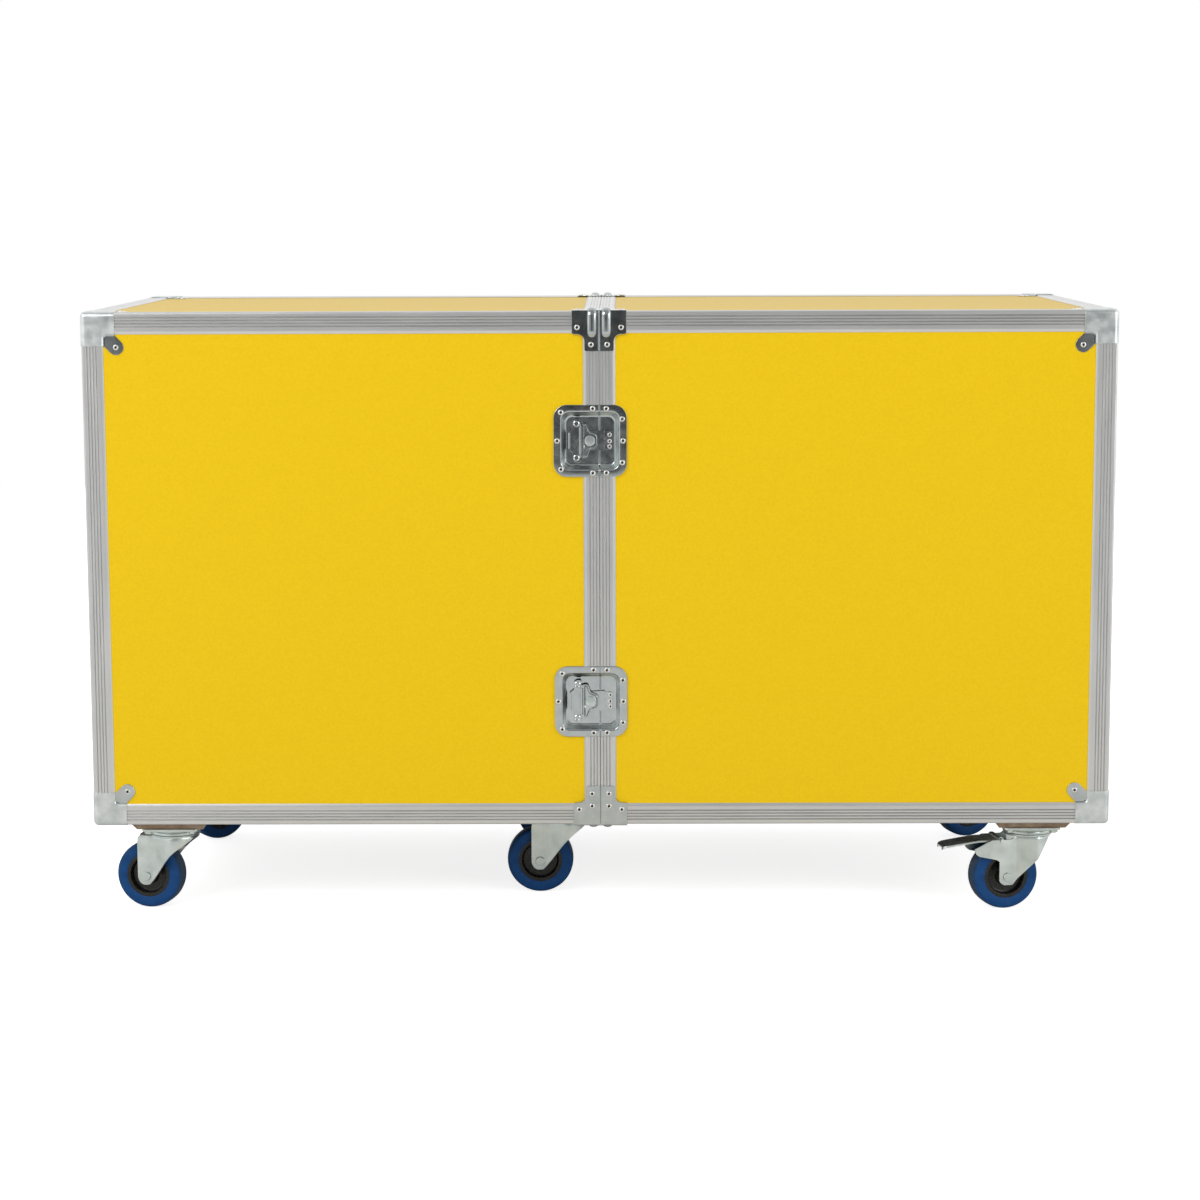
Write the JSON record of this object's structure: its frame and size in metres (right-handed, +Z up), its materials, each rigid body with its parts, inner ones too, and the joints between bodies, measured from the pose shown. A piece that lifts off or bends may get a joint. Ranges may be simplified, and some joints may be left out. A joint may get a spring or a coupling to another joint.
{
  "type": "drum case",
  "caption": "Wheeled hinged drum trunk in two halves, with aluminium edges, recessed butterfly latches, steel corner caps and braked swivel castors.",
  "frame": {"origin": "on the floor under the middle of the closed case, wheels down", "axes": "+X along the case to the right of someone facing its latches, +Y to the hinges, +Z up"},
  "size_m": [1.483, 0.674, 0.8897],
  "materials": {
    "laminate": "yellow laminate on plywood, slightly textured",
    "extrusion": "drawn and anodised, lengthways lines",
    "plated_steel": "zinc plated, satin",
    "pad_ply": "sealed plywood",
    "tyre": "blue rubber, matt",
    "hub": "black nylon",
    "grip": "black rubber on steel"
  },
  "bodies": {
    "left_half": {"panel_front_left": "laminate", "panel_rear_left": "laminate", "panel_top_left": "laminate", "panel_bottom_left": "laminate", "panel_end_left": "laminate", "edge_extrusions_left": "extrusion", "closing_post_left": "extrusion", "closing_frame_left": "extrusion", "corner_caps_left": "plated_steel", "seam_braces_left": "plated_steel", "hinge_leaves_left": "plated_steel", "latch_dishes_left": "plated_steel", "castor_pads_left": "pad_ply", "castor_plates_left": "plated_steel", "handle_dish_left": "plated_steel", "hinge_pins": "plated_steel"},
    "right_half": {"panel_front_right": "laminate", "panel_rear_right": "laminate", "panel_top_right": "laminate", "panel_bottom_right": "laminate", "panel_end_right": "laminate", "edge_extrusions_right": "extrusion", "closing_post_right": "extrusion", "closing_frame_right": "extrusion", "corner_caps_right": "plated_steel", "seam_braces_right": "plated_steel", "hinge_leaves_right": "plated_steel", "latch_dishes_right": "plated_steel", "castor_pads_right": "pad_ply", "castor_plates_right": "plated_steel", "handle_dish_right": "plated_steel", "latch_keepers": "plated_steel"},
    "latch_spindle_upper": {"latch_spindle_upper": "plated_steel"},
    "latch_wing_upper": {"latch_wing_upper": "plated_steel"},
    "latch_hook_upper": {"latch_hook_upper": "plated_steel"},
    "latch_spindle_lower": {"latch_spindle_lower": "plated_steel"},
    "latch_wing_lower": {"latch_wing_lower": "plated_steel"},
    "latch_hook_lower": {"latch_hook_lower": "plated_steel"},
    "castor_swivel_front_left": {"castor_fork_front_left": "plated_steel"},
    "castor_wheel_front_left": {"castor_tyre_front_left": "tyre", "castor_hub_front_left": "hub"},
    "castor_swivel_rear_left": {"castor_fork_rear_left": "plated_steel"},
    "castor_wheel_rear_left": {"castor_tyre_rear_left": "tyre", "castor_hub_rear_left": "hub"},
    "castor_swivel_middle_front": {"castor_fork_middle_front": "plated_steel"},
    "castor_wheel_middle_front": {"castor_tyre_middle_front": "tyre", "castor_hub_middle_front": "hub"},
    "castor_swivel_middle_rear": {"castor_fork_middle_rear": "plated_steel"},
    "castor_wheel_middle_rear": {"castor_tyre_middle_rear": "tyre", "castor_hub_middle_rear": "hub"},
    "castor_swivel_front_right": {"castor_fork_front_right": "plated_steel"},
    "castor_wheel_front_right": {"castor_tyre_front_right": "tyre", "castor_hub_front_right": "hub"},
    "brake_pedal_front_right": {"brake_pedal_front_right": "plated_steel"},
    "castor_swivel_rear_right": {"castor_fork_rear_right": "plated_steel"},
    "castor_wheel_rear_right": {"castor_tyre_rear_right": "tyre", "castor_hub_rear_right": "hub"},
    "brake_pedal_rear_right": {"brake_pedal_rear_right": "plated_steel"},
    "handle_bail_left": {"handle_bail_left": "grip"},
    "handle_bail_right": {"handle_bail_right": "grip"}
  },
  "joints": [
    {"name": "right_half_swing", "type": "hinge", "parent": "left_half", "child": "right_half", "pos_m": [0, 0.3315, 0.511], "axis": [0, 0, 1], "range_deg": [0, 180]},
    {"name": "latch_spindle_upper_turn", "type": "hinge", "parent": "left_half", "child": "latch_spindle_upper", "pos_m": [-0.0132, -0.3263, 0.699], "axis": [0, 1, 0], "range_deg": [0, 180]},
    {"name": "latch_wing_upper_fold", "type": "hinge", "parent": "latch_spindle_upper", "child": "latch_wing_upper", "pos_m": [-0.0274, -0.3294, 0.699], "axis": [0, 0, 1], "range_deg": [0, 90]},
    {"name": "latch_hook_upper_slide", "type": "slide", "parent": "left_half", "child": "latch_hook_upper", "axis": [1, 0, 0], "range_m": [0, 0.0055]},
    {"name": "latch_spindle_lower_turn", "type": "hinge", "parent": "left_half", "child": "latch_spindle_lower", "pos_m": [-0.0132, -0.3263, 0.32], "axis": [0, 1, 0], "range_deg": [0, 180]},
    {"name": "latch_wing_lower_fold", "type": "hinge", "parent": "latch_spindle_lower", "child": "latch_wing_lower", "pos_m": [-0.0274, -0.3294, 0.32], "axis": [0, 0, 1], "range_deg": [0, 90]},
    {"name": "latch_hook_lower_slide", "type": "slide", "parent": "left_half", "child": "latch_hook_lower", "axis": [1, 0, 0], "range_m": [0, 0.0055]},
    {"name": "castor_swivel_front_left_turn", "type": "hinge", "parent": "left_half", "child": "castor_swivel_front_left", "pos_m": [-0.632, -0.2673, 0.112], "axis": [0, 0, 1], "continuous": true},
    {"name": "castor_wheel_front_left_spin", "type": "hinge", "parent": "castor_swivel_front_left", "child": "castor_wheel_front_left", "pos_m": [-0.66917, -0.2594, 0.05], "axis": [0.2079, 0.9781, 0], "continuous": true},
    {"name": "castor_swivel_rear_left_turn", "type": "hinge", "parent": "left_half", "child": "castor_swivel_rear_left", "pos_m": [-0.605, 0.2237, 0.112], "axis": [0, 0, 1], "continuous": true},
    {"name": "castor_wheel_rear_left_spin", "type": "hinge", "parent": "castor_swivel_rear_left", "child": "castor_wheel_rear_left", "pos_m": [-0.63613, 0.2019, 0.05], "axis": [-0.5736, 0.8192, 0], "continuous": true},
    {"name": "castor_swivel_middle_front_turn", "type": "hinge", "parent": "left_half", "child": "castor_swivel_middle_front", "pos_m": [-0.0545, -0.1663, 0.112], "axis": [0, 0, 1], "continuous": true},
    {"name": "castor_wheel_middle_front_spin", "type": "hinge", "parent": "castor_swivel_middle_front", "child": "castor_wheel_middle_front", "pos_m": [-0.0925, -0.1663, 0.05], "axis": [0, 1, 0], "continuous": true},
    {"name": "castor_swivel_middle_rear_turn", "type": "hinge", "parent": "left_half", "child": "castor_swivel_middle_rear", "pos_m": [-0.0545, 0.1597, 0.112], "axis": [0, 0, 1], "continuous": true},
    {"name": "castor_wheel_middle_rear_spin", "type": "hinge", "parent": "castor_swivel_middle_rear", "child": "castor_wheel_middle_rear", "pos_m": [-0.09021, 0.1727, 0.05], "axis": [0.342, 0.9397, 0], "continuous": true},
    {"name": "castor_swivel_front_right_turn", "type": "hinge", "parent": "right_half", "child": "castor_swivel_front_right", "pos_m": [0.632, -0.2673, 0.112], "axis": [0, 0, 1], "continuous": true},
    {"name": "castor_wheel_front_right_spin", "type": "hinge", "parent": "castor_swivel_front_right", "child": "castor_wheel_front_right", "pos_m": [0.59483, -0.2752, 0.05], "axis": [-0.2079, 0.9781, 0], "continuous": true},
    {"name": "brake_pedal_front_right_press", "type": "hinge", "parent": "castor_swivel_front_right", "child": "brake_pedal_front_right", "pos_m": [0.58505, -0.27728, 0.1053], "axis": [0.2079, -0.9781, 0], "range_deg": [0, 12]},
    {"name": "castor_swivel_rear_right_turn", "type": "hinge", "parent": "right_half", "child": "castor_swivel_rear_right", "pos_m": [0.632, 0.2237, 0.112], "axis": [0, 0, 1], "continuous": true},
    {"name": "castor_wheel_rear_right_spin", "type": "hinge", "parent": "castor_swivel_rear_right", "child": "castor_wheel_rear_right", "pos_m": [0.59629, 0.2107, 0.05], "axis": [-0.342, 0.9397, 0], "continuous": true},
    {"name": "brake_pedal_rear_right_press", "type": "hinge", "parent": "castor_swivel_rear_right", "child": "brake_pedal_rear_right", "pos_m": [0.58689, 0.20728, 0.1053], "axis": [0.342, -0.9397, 0], "range_deg": [0, 12]},
    {"name": "handle_bail_left_lift", "type": "hinge", "parent": "left_half", "child": "handle_bail_left", "pos_m": [-0.733, -0.0033, 0.593], "axis": [0, 1, 0], "range_deg": [0, 90], "stiffness_Nm_per_rad": 0.2, "springref_deg": -17.19},
    {"name": "handle_bail_right_lift", "type": "hinge", "parent": "right_half", "child": "handle_bail_right", "pos_m": [0.733, -0.0033, 0.593], "axis": [0, -1, 0], "range_deg": [0, 90], "stiffness_Nm_per_rad": 0.2, "springref_deg": -17.19}
  ],
  "couplings": [
    {"joint": "latch_hook_upper_slide", "follows": "latch_spindle_upper_turn", "m_per_rad": 0.0017507},
    {"joint": "latch_hook_lower_slide", "follows": "latch_spindle_lower_turn", "m_per_rad": 0.0017507}
  ]
}
